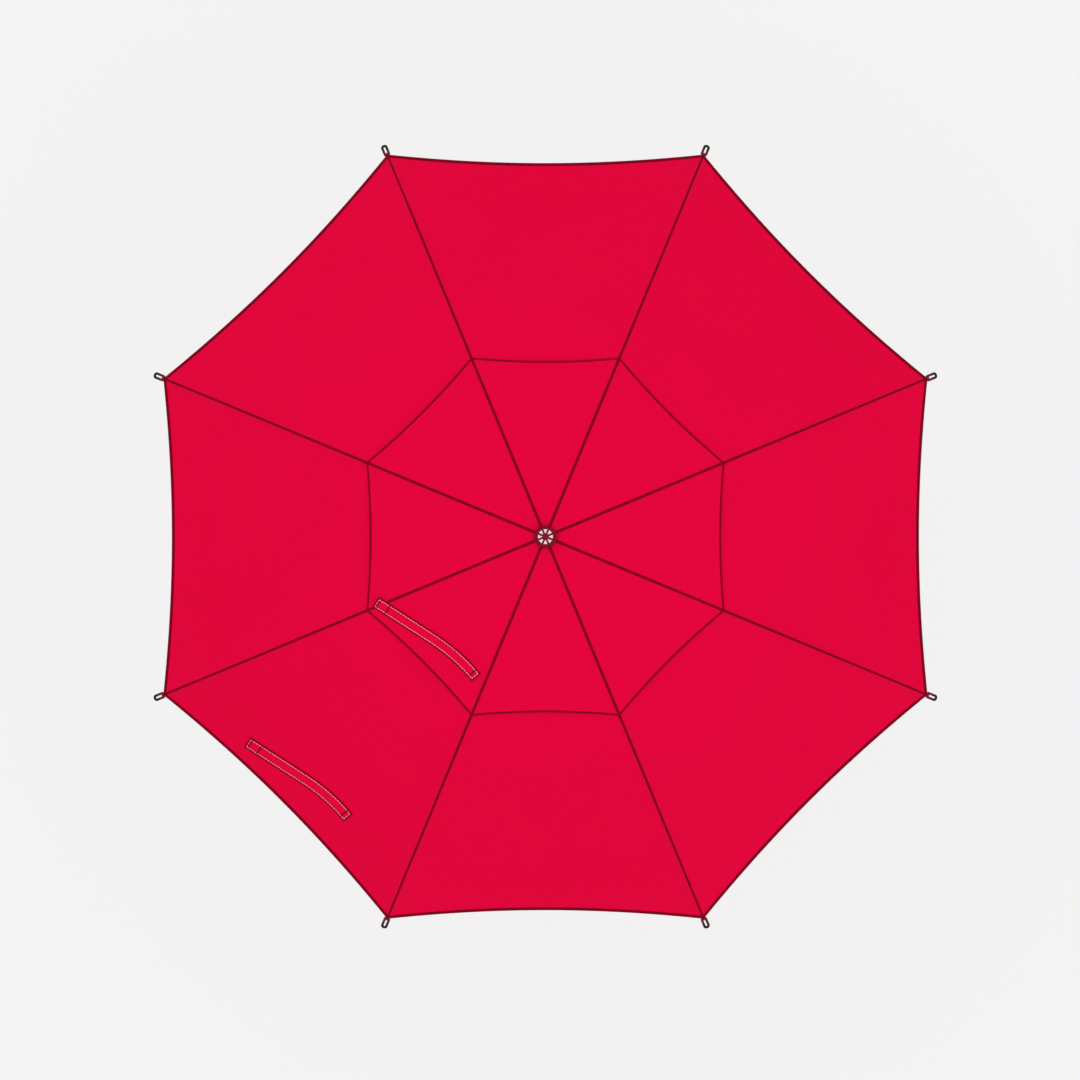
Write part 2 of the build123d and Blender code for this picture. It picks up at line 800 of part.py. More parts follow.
with BuildPart() as handle_grip:
    with BuildSketch(Plane.XY.offset(cap_height)):
        Circle(grip_radius)
    extrude(amount=grip_length)
    ends = handle_grip.faces().filter_by(GeomType.PLANE)
    fillet(ends.edges(), grip_round)
    with BuildSketch(Plane.XY):
        Circle(core_radius + shaft_fit)
    extrude(amount=cap_height + 2 * grip_length, mode=Mode.SUBTRACT)
handle_grip.part.label = "handle_grip"
export_step(handle_grip.part, "parts/handle_grip.step")

with BuildPart() as handle_cap:
    with BuildSketch(Plane.XY):
        Circle(grip_radius - end_cap_inset)
    extrude(amount=cap_height)
    fillet(handle_cap.faces().sort_by(Axis.Z)[0].edges(), end_cap_round)
handle_cap.part.label = "handle_cap"
export_step(handle_cap.part, "parts/handle_cap.step")

with BuildPart() as handle_collar:
    with BuildSketch(Plane.XZ):
        Polygon(
            (core_bore, collar_base),
            (grip_radius - grip_round, collar_base),
            (grip_radius - grip_round, collar_base + collar_band_height),
            (core_bore + collar_wall, collar_base + collar_height),
            (core_bore, collar_base + collar_height),
            align=None,
        )
    revolve(axis=Axis.Z)
handle_collar.part.label = "handle_collar"
export_step(handle_collar.part, "parts/handle_collar.step")
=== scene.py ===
import json
from math import asin, atan2, cos, hypot, pi, radians, sin, sqrt, tan

import bpy
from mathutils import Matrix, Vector


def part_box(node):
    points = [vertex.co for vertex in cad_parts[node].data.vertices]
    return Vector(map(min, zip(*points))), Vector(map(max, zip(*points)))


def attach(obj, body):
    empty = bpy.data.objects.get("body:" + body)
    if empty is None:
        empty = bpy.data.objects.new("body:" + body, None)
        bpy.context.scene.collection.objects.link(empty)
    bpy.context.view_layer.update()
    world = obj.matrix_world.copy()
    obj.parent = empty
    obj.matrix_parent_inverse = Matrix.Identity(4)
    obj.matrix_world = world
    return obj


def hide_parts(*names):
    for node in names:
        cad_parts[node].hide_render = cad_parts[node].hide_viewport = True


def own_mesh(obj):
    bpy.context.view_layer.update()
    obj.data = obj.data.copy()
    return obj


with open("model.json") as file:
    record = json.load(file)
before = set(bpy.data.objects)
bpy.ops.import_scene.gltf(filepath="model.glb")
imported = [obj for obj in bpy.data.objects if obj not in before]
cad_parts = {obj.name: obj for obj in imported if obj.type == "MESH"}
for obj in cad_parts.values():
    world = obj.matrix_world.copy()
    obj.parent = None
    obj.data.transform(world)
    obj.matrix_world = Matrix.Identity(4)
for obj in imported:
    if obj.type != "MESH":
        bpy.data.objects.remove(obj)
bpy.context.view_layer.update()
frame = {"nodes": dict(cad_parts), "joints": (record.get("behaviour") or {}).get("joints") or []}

# ------------------------------------------------------------ sizes, in metres

PANELS = 8
PANEL_DEG = 360 / PANELS
HALF_PANEL = radians(PANEL_DEG / 2)

joints = {joint["name"]: joint for joint in frame["joints"]}
NOTCH = Vector(joints["rib_fold_1"]["pos_m"])
PIVOT_CIRCLE = hypot(NOTCH.x, NOTCH.y)

TOP_SLOPE = radians(8)
TIP_SLOPE = radians(40)
CORNER = 0.5945  # shaft axis to a corner of the lower canopy
HEM_SAGITTA = 0.0123
VENT_CORNER = 0.2785
VENT_SAGITTA = 0.005
VENT_HOLE = 0.235
HUB_HOLE = 0.009

RIB_ARC = (CORNER - PIVOT_CIRCLE) / (sin(TIP_SLOPE) - sin(TOP_SLOPE))
ARC_R = PIVOT_CIRCLE - RIB_ARC * sin(TOP_SLOPE)
ARC_Z = NOTCH.z - RIB_ARC * cos(TOP_SLOPE)

LOWER_RISE = 0.0042  # middle of the cloth above a rib's centreline
UPPER_RISE = 0.0055
CLOTH_THICKNESS = 0.0006
SEAM_AT_TOP = 0.00205  # width of a seam's binding each side of a rib
SEAM_AT_CORNER = 0.00142
SEAM_RAISE = 0.0005
HEM_WIDTH = 0.0042
VENT_HEM_WIDTH = 0.0024
LOWER_SAG = 0.007
UPPER_SAG = 0.003
SAG_REACH = 0.62  # part of half a sine wave that the sag follows from hub to hem
SAG_POWER = 1.5
HEM_MEAN = 0.66  # mean depth of a hem's curve, as a share of its deepest

CLOTH_COLUMNS = 18  # across half a panel, the first two of them in the seam's binding
ROWS_TO_HEM = 46
ROWS_TO_JOINT = 14
CROWDING = 1.35  # draws the columns towards the panel's middle

# How the cloth would fold as the ribs close, which the pleat step works out but does not apply:
# the radius it folds at, its tilt outwards, and what is left of its width.
UPPER_PLEAT = (0.167, radians(30), 0.14)
INNER_PLEAT = (0.270, radians(22), 0.14)
OUTER_PLEAT = (0.446, radians(22), 0.12)
SHARP_ANGLE = radians(50)

TIP_DIP = CORNER + 0.0068  # where a tip's colour changes

STRAP_PANEL = 5
STRAP_WIDTH = 0.0170
STRAP_EDGE = 0.0020
STRAP_THICKNESS = 0.0012
STRAP_LIFT = 0.0004
STRAP_RUN = (0.0956, -0.0207)  # across the panel, and away from the shaft
STRAP_HOOK = (0.0834, -0.0048)
VENT_STRAP_START = (-0.1062, 0.2393)
HEM_STRAP_START = (-0.0939, 0.5123)

INLAY_BORE = 0.0038
INLAY_SIDES = 96
INLAY_DEPTH = 0.0005  # of the pale pads' tops below the cap's
PAD_GAP = 0.0001
PAD_BEVEL = 0.0003
PAD_TOP_SHARE = 0.9
WINDOW_START, WINDOW_STOP = 0.0046, 0.0109  # a window's reach from the shaft's axis
WINDOW_NARROW, WINDOW_WIDE = 0.0016, 0.0062  # its widths there
WINDOW_MIDDLE = 0.0084

STITCH_INSET = 0.0027
STITCH_RADIUS = 0.00038
STITCH_LENGTH = 0.0034
STITCH_PITCH = 0.0044
TACKS = (0.0042, 0.0203, -0.0087)  # bars across a strap, from its start or its end
TACK_LENGTH = 0.0028
TACK_PITCH = 0.0006


def srgb(red, green, blue):
    """Linear colour of an 8-bit sRGB one."""
    channels = [value / 255 for value in (red, green, blue)]
    linear = [
        c / 12.92 if c <= 0.04045 else ((c + 0.055) / 1.055) ** 2.4 for c in channels
    ]
    return (*linear, 1.0)


RED = srgb(225, 1, 58)
BURGUNDY = srgb(133, 1, 28)
HEM_COLOUR = srgb(122, 1, 26)
STITCH_PINK = srgb(255, 205, 220)
PAPER = srgb(245, 245, 245)

FLOOR_HALF = 30.0
FLOOR_GLOW = 0.86  # share of the floor's own colour that is seen unshaded
LAMPS_AIM = (0, 0, 0.6)
WORLD_LIGHT = 0.865
VIEW_SPAN = 1.553
CAMERA_PLACE = (-0.0078, -0.0048, 3.0)


# -------------------------------------------------------------------- materials


class Nodes:
    """A material's node tree, with short calls for what the materials here need."""

    def __init__(self, name):
        self.material = bpy.data.materials.new(name)
        self.material.use_nodes = True
        self.tree = self.material.node_tree
        self.shader = self.tree.nodes["Principled BSDF"]
        self.place = self.add("ShaderNodeTexCoord").outputs["Object"]

    def add(self, kind, **values):
        node = self.tree.nodes.new(kind)
        for key, value in values.items():
            setattr(node, key, value)
        return node

    def link(self, source, target):
        self.tree.links.new(source, target)

    def set(self, **values):
        for key, value in values.items():
            self.shader.inputs[key.replace("_", " ")].default_value = value

    def stretch(self, scale=(1, 1, 1), turn=(0, 0, 0)):
        mapping = self.add("ShaderNodeMapping")
        mapping.inputs["Scale"].default_value = scale
        mapping.inputs["Rotation"].default_value = turn
        self.link(self.place, mapping.inputs["Vector"])
        return mapping.outputs["Vector"]

    def noise(self, scale, detail=3.0, place=None):
        node = self.add("ShaderNodeTexNoise")
        node.inputs["Scale"].default_value = scale
        node.inputs["Detail"].default_value = detail
        self.link(place or self.place, node.inputs["Vector"])
        return node.outputs["Fac"]

    def wave(self, scale, direction="X", place=None, distortion=0.0):
        node = self.add("ShaderNodeTexWave", bands_direction=direction)
        node.inputs["Scale"].default_value = scale
        node.inputs["Distortion"].default_value = distortion
        self.link(place or self.place, node.inputs["Vector"])
        return node.outputs["Fac"]

    def span(self, value, low, high):
        node = self.add("ShaderNodeMapRange")
        node.inputs["To Min"].default_value = low
        node.inputs["To Max"].default_value = high
        self.link(value, node.inputs["Value"])
        return node.outputs["Result"]

    def both(self, one, other, operation="ADD"):
        node = self.add("ShaderNodeMath", operation=operation)
        self.link(one, node.inputs[0])
        self.link(other, node.inputs[1])
        return node.outputs["Value"]

    def mix(self, share, one, other):
        node = self.add("ShaderNodeMix", data_type="RGBA")
        self.link(share, node.inputs["Factor"])
        node.inputs["A"].default_value = one
        node.inputs["B"].default_value = other
        return node.outputs["Result"]

    def colour(self, output):
        self.link(output, self.shader.inputs["Base Color"])

    def roughness(self, output):
        self.link(output, self.shader.inputs["Roughness"])

    def bump(self, height, distance, strength=1.0, after=None):
        node = self.add("ShaderNodeBump")
        node.inputs["Strength"].default_value = strength
        node.inputs["Distance"].default_value = distance
        self.link(height, node.inputs["Height"])
        if after:
            self.link(after, node.inputs["Normal"])
        self.link(node.outputs["Normal"], self.shader.inputs["Normal"])
        return node.outputs["Normal"]


def shade(colour, share):
    """A colour, darker or lighter by a share."""
    return (*[min(1.0, channel * share) for channel in colour[:3]], 1.0)


def woven(name, colour, thread=0.0011, wrinkle=0.0006, rough=0.72):
    """Plain-weave cloth: two crossed sets of threads, faint slubs and soft wrinkles."""
    nodes = Nodes(name)
    frequency = 1 / thread / 3.2
    warp = nodes.wave(frequency, "X", nodes.stretch(turn=(0, 0, radians(1))))
    weft = nodes.wave(frequency, "Y", nodes.stretch(turn=(0, 0, radians(1))))
    weave = nodes.both(warp, weft, "MAXIMUM")
    slubs = nodes.noise(260, 2.0, nodes.stretch((1.0, 0.18, 1.0)))
    cloud = nodes.noise(7, 4.0)
    tone = nodes.both(nodes.span(cloud, 0.25, 0.75), nodes.span(slubs, -0.15, 0.15))
    nodes.colour(nodes.mix(tone, shade(colour, 0.95), shade(colour, 1.05)))
    nodes.roughness(nodes.span(weave, rough - 0.08, rough + 0.08))
    soft = nodes.bump(nodes.noise(16, 3.0), wrinkle, 0.5)
    nodes.bump(weave, 0.00012, 0.45, after=soft)
    nodes.set(Specular_IOR_Level=0.03, Sheen_Weight=0.01, Sheen_Roughness=0.4)
    return nodes.material


def moulded(name, colour, rough=0.42, grain=900, wear=0.15, gloss=0.45):
    """Moulded plastic: a fine spark-eroded grain and slightly polished high spots."""
    nodes = Nodes(name)
    fine = nodes.noise(grain, 2.0)
    broad = nodes.noise(40, 3.0)
    nodes.colour(nodes.mix(broad, shade(colour, 1 - wear), shade(colour, 1 + wear)))
    nodes.roughness(nodes.span(broad, rough - 0.1, rough + 0.1))
    nodes.bump(fine, 0.00006, 0.5)
    nodes.set(Specular_IOR_Level=gloss)
    return nodes.material


def dipped(name, colour, end_colour, radius):
    """Moulded plastic whose colour changes at a distance from the shaft's axis."""
    nodes = Nodes(name)
    reach = nodes.add("ShaderNodeVectorMath", operation="LENGTH")
    nodes.link(nodes.stretch((1, 1, 0)), reach.inputs[0])
    past = nodes.add("ShaderNodeMapRange")
    past.inputs["From Min"].default_value = radius - 0.001
    past.inputs["From Max"].default_value = radius + 0.001
    nodes.link(reach.outputs["Value"], past.inputs["Value"])
    nodes.colour(nodes.mix(past.outputs["Result"], colour, end_colour))
    broad = nodes.noise(60, 3.0)
    nodes.roughness(nodes.span(broad, 0.4, 0.6))
    nodes.bump(nodes.noise(900, 2.0), 0.00006, 0.5)
    nodes.set(Specular_IOR_Level=0.2)
    return nodes.material


def drawn_rod(name, colour, rough=0.32):
    """Fibreglass rod: glossy resin over fine fibres that run along it."""
    nodes = Nodes(name)
    fibres = nodes.noise(90, 5.0, nodes.stretch((6, 6, 1.2)))
    nodes.colour(nodes.mix(fibres, shade(colour, 0.75), shade(colour, 1.35)))
    nodes.roughness(nodes.span(fibres, rough - 0.08, rough + 0.12))
    nodes.bump(fibres, 0.00005, 0.4)
    nodes.set(Coat_Weight=0.35, Coat_Roughness=0.15)
    return nodes.material


def metal(name, colour, rough, brushed=(1, 1, 12), coat=0.0):
    """Metal with a drawn or brushed grain and faint handling marks."""
    nodes = Nodes(name)
    grain = nodes.noise(220, 4.0, nodes.stretch(brushed))
    marks = nodes.noise(30, 5.0)
    nodes.colour(nodes.mix(marks, shade(colour, 0.88), shade(colour, 1.08)))
    nodes.roughness(
        nodes.both(nodes.span(grain, 0, 0.12), nodes.span(marks, rough, rough + 0.1))
    )
    nodes.bump(grain, 0.00004, 0.35)
    nodes.set(Metallic=1.0, Coat_Weight=coat)
    return nodes.material


def foam(name, colour):
    """Closed-cell foam: small pores, and skin polished a little by hands."""
    nodes = Nodes(name)
    cells = nodes.add("ShaderNodeTexVoronoi")
    cells.inputs["Scale"].default_value = 900
    nodes.link(nodes.place, cells.inputs["Vector"])
    worn = nodes.noise(28, 3.0, nodes.stretch((1, 1, 0.5)))
    nodes.colour(nodes.mix(worn, shade(colour, 0.8), shade(colour, 1.4)))
    nodes.roughness(nodes.span(worn, 0.72, 0.92))
    soft = nodes.bump(worn, 0.0003, 0.3)
    nodes.bump(cells.outputs["Distance"], 0.00025, 0.6, after=soft)
    nodes.set(Specular_IOR_Level=0.3)
    return nodes.material


canopy_cloth = woven("canopy_cloth", RED)
binding_cloth = woven("binding_cloth", BURGUNDY, thread=0.0007, wrinkle=0.0001)
strap_cloth = woven("strap_cloth", RED, thread=0.0009, wrinkle=0.0001, rough=0.66)
hem_cloth = woven("hem_cloth", HEM_COLOUR, thread=0.0007, wrinkle=0.0001)
tack_thread = woven("tack_thread", BURGUNDY, thread=0.0004, wrinkle=0.00005)
strap_edge = woven("strap_edge", BURGUNDY, thread=0.0007, wrinkle=0.0001)
stitch_thread = woven("stitch_thread", STITCH_PINK, thread=0.0004, wrinkle=0.00005)
tip_plastic = dipped("tip_plastic", srgb(104, 3, 28), srgb(12, 11, 12), TIP_DIP)
black_plastic = moulded("black_plastic", srgb(36, 35, 38))
hub_plastic = moulded("hub_plastic", srgb(126, 3, 30), rough=0.5, gloss=0.08)
spike_plastic = moulded("spike_plastic", srgb(128, 3, 34), rough=0.45, gloss=0.1)
inlay_plastic = moulded("inlay_plastic", srgb(255, 238, 245), wear=0.02, gloss=0.1)
fibreglass = drawn_rod("fibreglass", srgb(52, 52, 56))
shaft_metal = metal("shaft_metal", srgb(92, 93, 98), 0.32, coat=0.3)
bright_steel = metal("bright_steel", srgb(196, 197, 200), 0.25)
grip_foam = foam("grip_foam", srgb(44, 43, 46))


def finish_of(node):
    """Material of a CAD node that is shown as it is."""
    if node.startswith(("rib_inner", "rib_outer", "stretcher")):
        return fibreglass
    if node.startswith("rib_tip"):
        return tip_plastic
    if node in ("notch_wire", "runner_wire", "stop_pins", "latch_pin"):
        return bright_steel
    finishes = {
        "shaft": shaft_metal,
        "handle_grip": grip_foam,
        "ferrule_spike": spike_plastic,
        "ferrule_cap": hub_plastic,
        "rosette_washer": hub_plastic,
    }
    return finishes.get(node, black_plastic)


REPLACED = ("lower_canopy", "upper_canopy", "strap_vent", "strap_hem", "ferrule_disc")

for name, node in frame["nodes"].items():
    if name not in REPLACED:
        for place in node.material_slots:
            place.material = finish_of(name)


# ------------------------------------------------------------- shape of the cloth


def height(out, rise):
    """Height of the cloth at a distance out along a panel's middle."""
    radius = out / cos(HALF_PANEL)
    reach = RIB_ARC + rise
    return ARC_Z + sqrt(reach**2 - (radius - ARC_R) ** 2)


def rib_side(out):
    """Half the width of a panel, from its middle to the rib, at a distance out."""
    return out * tan(HALF_PANEL)


def sunk(out, across, corner, sag):
    """How far the cloth lies below the ribs' level: most in a panel's middle."""
    share = min(1.0, abs(across) / rib_side(out))
    reach = min(1.0, out / (corner * cos(HALF_PANEL)))
    return sag * (1 - share**2) * sin(pi * SAG_REACH * reach) ** SAG_POWER


def in_frame(panel, out, across, z):
    """Point of a panel, from its own directions out and across."""
    turn = radians(panel * PANEL_DEG)
    return Vector(
        (out * cos(turn) - across * sin(turn), out * sin(turn) + across * cos(turn), z)
    )


def new_piece(name, points, faces, materials, picks=None):
    """Mesh object with smooth faces; picks gives each face's material number."""
    mesh = bpy.data.meshes.new(name)
    mesh.from_pydata([tuple(point) for point in points], [], faces)
    for material in materials:
        mesh.materials.append(material)
    for number, face in enumerate(mesh.polygons):
        face.use_smooth = True
        if picks:
            face.material_index = picks[number]
    mesh.update()
    piece = bpy.data.objects.new(name, mesh)
    bpy.context.scene.collection.objects.link(piece)
    return piece


def applied(piece):
    """The piece with its modifiers made part of its mesh."""
    seen = piece.evaluated_get(bpy.context.evaluated_depsgraph_get())
    mesh = bpy.data.meshes.new_from_object(seen)
    piece.modifiers.clear()
    piece.data = mesh
    return piece


def thicken(piece, thickness):
    """Gives a sheet its thickness, half to each side."""
    solid = piece.modifiers.new("thickness", "SOLIDIFY")
    solid.thickness = thickness
    solid.offset = 0
    applied(piece)
    piece.data.set_sharp_from_angle(angle=SHARP_ANGLE)
    return piece


def pleat(piece, rib, rise, fold):
    """Gives a piece of cloth its own mesh, and works out where it would fold to its rib; the
    fold itself is not made.
    """
    radius, tilt, keep = fold
    azimuth = radians((rib - 0.5) * PANEL_DEG)
    out = Vector((cos(azimuth), sin(azimuth), 0))
    slope = asin((radius - ARC_R) / (RIB_ARC + rise))
    anchor = out * radius
    anchor.z = ARC_Z + (RIB_ARC + rise) * cos(slope)
    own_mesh(piece)


def half_panel(name, panel, side, form, start=0.0, stop=None):
    """Half of a panel, from one rib to the panel's middle, with its seam and hem.

    side is -1 for the half beside rib number panel, and 1 for the next rib's half.
    With start or stop the piece is only a part of the half, and one that stops before
    the edge has no hem.
    """
    corner, sagitta, inner, rise, sag, hem = form
    inner = max(inner, start)
    chord = corner * cos(HALF_PANEL)
    columns = CLOTH_COLUMNS
    rows = ROWS_TO_JOINT if stop else ROWS_TO_HEM

    def share(column, out):
        """Place across the panel, 1 at the rib and 0 in the middle."""
        side_out = rib_side(out)
        along = out / (CORNER * cos(HALF_PANEL))
        width = SEAM_AT_TOP + (SEAM_AT_CORNER - SEAM_AT_TOP) * along
        seam = width / cos(HALF_PANEL)
        if column <= 2:
            return 1 - seam * (0, 0.8, 1.0)[column] / side_out
        step = (column - 2) / (columns - 2)
        return (1 - seam / side_out) * (1 - step) ** CROWDING

    hem_steps = (0.0,) if stop else (1.0, 0.85, 0.15, 0.0)
    points = []
    for row in range(rows + len(hem_steps)):
        for column in range(columns + 1):
            nominal = share(column, chord)
            edge = stop or chord - sagitta * (1 - nominal**2)
            trim = 0.0 if stop else hem
            if row < rows:
                out = inner + (edge - trim - inner) * row / rows
            else:
                out = edge - hem * hem_steps[row - rows]
            across = share(column, out) * rib_side(out)
            raised = SEAM_RAISE * (1.0 if column < 2 else 0.0)
            in_hem = row > rows and row < rows + len(hem_steps) - 1
            raised = max(raised, SEAM_RAISE * 0.8 if in_hem else 0.0)
            z = height(out, rise) - sunk(out, across, corner, sag) + raised
            points.append(in_frame(panel, out, side * across, z))
    faces, picks = [], []
    width = columns + 1
    for row in range(rows + len(hem_steps) - 1):
        for column in range(columns):
            first = row * width + column
            face = (first, first + width, first + width + 1, first + 1)
            faces.append(face if side < 0 else face[::-1])
            picks.append(2 if row >= rows else 1 if column < 2 else 0)
    materials = [canopy_cloth, binding_cloth, hem_cloth if form is LOWER else binding_cloth]
    piece = new_piece(name, points, faces, materials, picks)
    return thicken(piece, CLOTH_THICKNESS)


def flat_size(form, start=0.0, stop=None):
    """Flat size of half a panel or a part of it: its widest, its length, and its area."""
    corner, sagitta, inner, rise, sag, hem = form
    inner = max(inner, start)
    edge = stop or corner * cos(HALF_PANEL) - sagitta * HEM_MEAN
    steps = 60
    length, area = 0.0, 0.0
    for step in range(steps):
        out = inner + (edge - inner) * (step + 0.5) / steps
        rise_of = height(out + 0.0005, rise) - height(out - 0.0005, rise)
        along = (edge - inner) / steps * hypot(1, rise_of / 0.001)
        length += along
        area += along * rib_side(out)
    return (rib_side(stop or corner * cos(HALF_PANEL)), length), area


CHORD_HOLE = VENT_HOLE * cos(HALF_PANEL)
LOWER = (CORNER, HEM_SAGITTA, CHORD_HOLE, LOWER_RISE, LOWER_SAG, HEM_WIDTH)
UPPER = (VENT_CORNER, VENT_SAGITTA, HUB_HOLE, UPPER_RISE, UPPER_SAG, VENT_HEM_WIDTH)

BEND_OUT = hypot(*joints["rib_bend_1"]["pos_m"][:2]) * cos(HALF_PANEL)


def add_cloth(name, panel, side, form, body, node, fold, **part):
    """A piece of cloth on a rib, with its finish; its fold and its flat size are worked out but
    not used.
    """
    rib = panel if side < 0 else panel % PANELS + 1
    letter = "a" if side < 0 else "b"
    piece = half_panel(f"{name}_{panel}{letter}", panel, side, form, **part)
    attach(piece, f"{body}_{rib}")
    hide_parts(node)
    pleat(piece, rib, form[3], fold)
    flat, area = flat_size(form, **part)


# The lower canopy is in two parts along each rib, because the rib bends at its joint.
for panel in range(1, PANELS + 1):
    for side in (-1, 1):
        place = (panel, side)
        add_cloth("upper_cloth", *place, UPPER, "rib", "upper_canopy", UPPER_PLEAT)
        add_cloth(
            "inner_cloth", *place, LOWER, "rib", "lower_canopy", INNER_PLEAT, stop=BEND_OUT
        )
        add_cloth(
            "outer_cloth", *place, LOWER, "rib_end", "lower_canopy", OUTER_PLEAT,
            start=BEND_OUT,
        )


# ---------------------------------------------------------------------- tie straps


def strap_middle(start):
    """Points and directions along a strap's middle: a straight run, then a bend."""
    first = Vector((start[0], start[1]))
    bend = first + Vector(STRAP_RUN)
    end = bend + Vector(STRAP_HOOK)
    heading = Vector(STRAP_RUN).normalized()
    chord = end - bend
    turn = 2 * (atan2(chord.y, chord.x) - atan2(heading.y, heading.x))
    radius = chord.length / 2 / sin(turn / 2)
    middle = bend + Vector((-heading.y, heading.x)) * radius
    run, arc = Vector(STRAP_RUN).length, radius * turn
    count = 84
    line = []
    for step in range(count + 1):
        distance = (run + arc) * step / count
        if distance <= run:
            line.append((distance, first + heading * distance, heading))
            continue
        angle = (distance - run) / radius
        spin = atan2(heading.y, heading.x) + angle
        direction = Vector((cos(spin), sin(spin)))
        place = middle - Vector((-direction.y, direction.x)) * radius
        line.append((distance, place, direction))
    return line


def crossing_of(line):
    """Distance along a strap at which it crosses its panel's middle."""
    return next(mark[0] for mark in line if mark[1][0] >= 0)


def strap_at(line, distance, offset):
    """Place across and out, at a distance along the strap and an offset from its middle."""
    step = line[1][0]
    number = min(int(distance / step), len(line) - 2)
    share = distance / step - number
    place = line[number][1].lerp(line[number + 1][1], share)
    heading = line[number][2].lerp(line[number + 1][2], share).normalized()
    return place + Vector((-heading.y, heading.x)) * offset


def on_cloth(place, rise, form):
    """Point of the strap's panel above the cloth, from its place across and out."""
    across, out = place
    corner, sagitta, inner, cloth_rise, sag, hem = form
    z = height(out, cloth_rise) - sunk(out, across, corner, sag) + rise
    return in_frame(STRAP_PANEL, out, across, z)


def strap_piece(name, line, form, side):
    """The part of a strap on one side of its panel's middle: a band with a hemmed end."""
    half = STRAP_WIDTH / 2
    edge = STRAP_EDGE
    profile = [
        (-half, 0.0),
        (-half, 0.8),
        (-half + edge, 1.0),
        (-half * 0.5, 0.92),
        (0.0, 0.9),
        (half * 0.5, 0.92),
        (half - edge, 1.0),
        (half, 0.8),
        (half, 0.0),
    ]
    total = line[-1][0]
    ends = (0.0, STRAP_EDGE, total - STRAP_EDGE, total)
    marks = sorted({*[mark[0] for mark in line], *ends})
    crossing = crossing_of(line)
    marks = [m for m in marks if (m <= crossing if side < 0 else m >= crossing)]
    points, faces, picks = [], [], []
    for mark in marks:
        for offset, rise in profile:
            lift = STRAP_LIFT + CLOTH_THICKNESS / 2 + rise * STRAP_THICKNESS
            points.append(on_cloth(strap_at(line, mark, offset), lift, form))
    width = len(profile)
    for row in range(len(marks) - 1):
        middle = (marks[row] + marks[row + 1]) / 2
        at_end = not STRAP_EDGE < middle < total - STRAP_EDGE
        for column in range(width):
            following = (column + 1) % width
            first = row * width
            faces.append(
                (first + column, first + width + column, first + width + following,
                 first + following)
            )
            picks.append(1 if at_end or column in (0, 1, 6, 7, 8) else 0)
    faces.append(tuple(range(width)))
    faces.append(tuple(range(len(points) - 1, len(points) - width - 1, -1)))
    picks += [1, 1]
    return new_piece(name, points, faces, [strap_cloth, strap_edge], picks)


def tube(points, radius, sides=6):
    """Vertices and faces of a short closed tube through the points."""
    vertices, faces = [], []
    for number, point in enumerate(points):
        before, after = points[max(number - 1, 0)], points[min(number + 1, len(points) - 1)]
        along = (after - before).normalized()
        across = along.cross(Vector((0, 0, 1))).normalized()
        up = across.cross(along)
        size = radius * (0.55 if number in (0, len(points) - 1) else 1.0)
        for step in range(sides):
            angle = 2 * pi * step / sides
            vertices.append(point + (across * cos(angle) + up * sin(angle)) * size)
    for number in range(len(points) - 1):
        for step in range(sides):
            first, following = number * sides, (step + 1) % sides
            faces.append(
                (first + step, first + following, first + sides + following,
                 first + sides + step)
            )
    faces.append(tuple(range(sides))[::-1])
    last = (len(points) - 1) * sides
    faces.append(tuple(range(last, last + sides)))
    return vertices, faces


def strap_stitches(name, line, form, side):
    """Rows of stitches inside the strap's edges, and across it at both ends."""
    total = line[-1][0]
    inside = STRAP_WIDTH / 2 - STITCH_INSET
    rise = STRAP_LIFT + CLOTH_THICKNESS / 2 + STRAP_THICKNESS * 0.98
    crossing = crossing_of(line)
    runs = []
    count = int((total - 2 * STITCH_INSET) / STITCH_PITCH)
    for number in range(count + 1):
        start = STITCH_INSET + number * STITCH_PITCH
        stop = min(start + STITCH_LENGTH, total - STITCH_INSET)
        for offset in (-inside, inside):
            runs.append([(start, offset), ((start + stop) / 2, offset), (stop, offset)])
    for distance in (STITCH_INSET, total - STITCH_INSET):
        for offset in (-inside + 0.0002, -inside / 3 + 0.0006, inside / 3 + 0.0010):
            ends = (offset, offset + STITCH_LENGTH * 0.45, offset + STITCH_LENGTH * 0.8)
            runs.append([(distance, place) for place in ends])
    points, faces = [], []
    for run in runs:
        if (run[0][0] < crossing) != (side < 0):
            continue
        path = [
            on_cloth(strap_at(line, distance, offset), rise, form)
            for distance, offset in run
        ]
        more, shapes = tube(path, STITCH_RADIUS)
        faces += [tuple(len(points) + corner for corner in face) for face in shapes]
        points += more
    return new_piece(name, points, faces, [stitch_thread])


def strap_tacks(name, line, form, side):
    """Dense bars of dark stitches across the strap, which lie along it side by side."""
    total = line[-1][0]
    inside = STRAP_WIDTH / 2 - STRAP_EDGE
    rise = STRAP_LIFT + CLOTH_THICKNESS / 2 + STRAP_THICKNESS * 0.98
    points, faces = [], []
    for place in TACKS:
        distance = place if place > 0 else total + place
        if (distance < total / 2) != (side < 0):
            continue
        for number in range(int(2 * inside / TACK_PITCH) + 1):
            offset = number * TACK_PITCH - inside
            path = [
                on_cloth(strap_at(line, distance + step * TACK_LENGTH, offset), rise, form)
                for step in (-0.5, 0.0, 0.5)
            ]
            more, shapes = tube(path, TACK_PITCH * 0.52)
            faces += [tuple(len(points) + corner for corner in face) for face in shapes]
            points += more
    return new_piece(name, points, faces, [tack_thread])


def add_strap(node, start, form, bodies, fold):
    """A strap in two pieces that meet at its panel's middle, each on its own rib."""
    line = strap_middle(start)
    for side, letter in ((-1, "a"), (1, "b")):
        rib = STRAP_PANEL if side < 0 else STRAP_PANEL + 1
        band = strap_piece(f"{node}_{letter}", line, form, side)
        stitches = strap_stitches(f"{node}_stitches_{letter}", line, form, side)
        tacks = strap_tacks(f"{node}_tacks_{letter}", line, form, side)
        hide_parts(node)
        for piece in (band, stitches, tacks):
            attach(piece, bodies[side])
            pleat(piece, rib, form[3], fold)


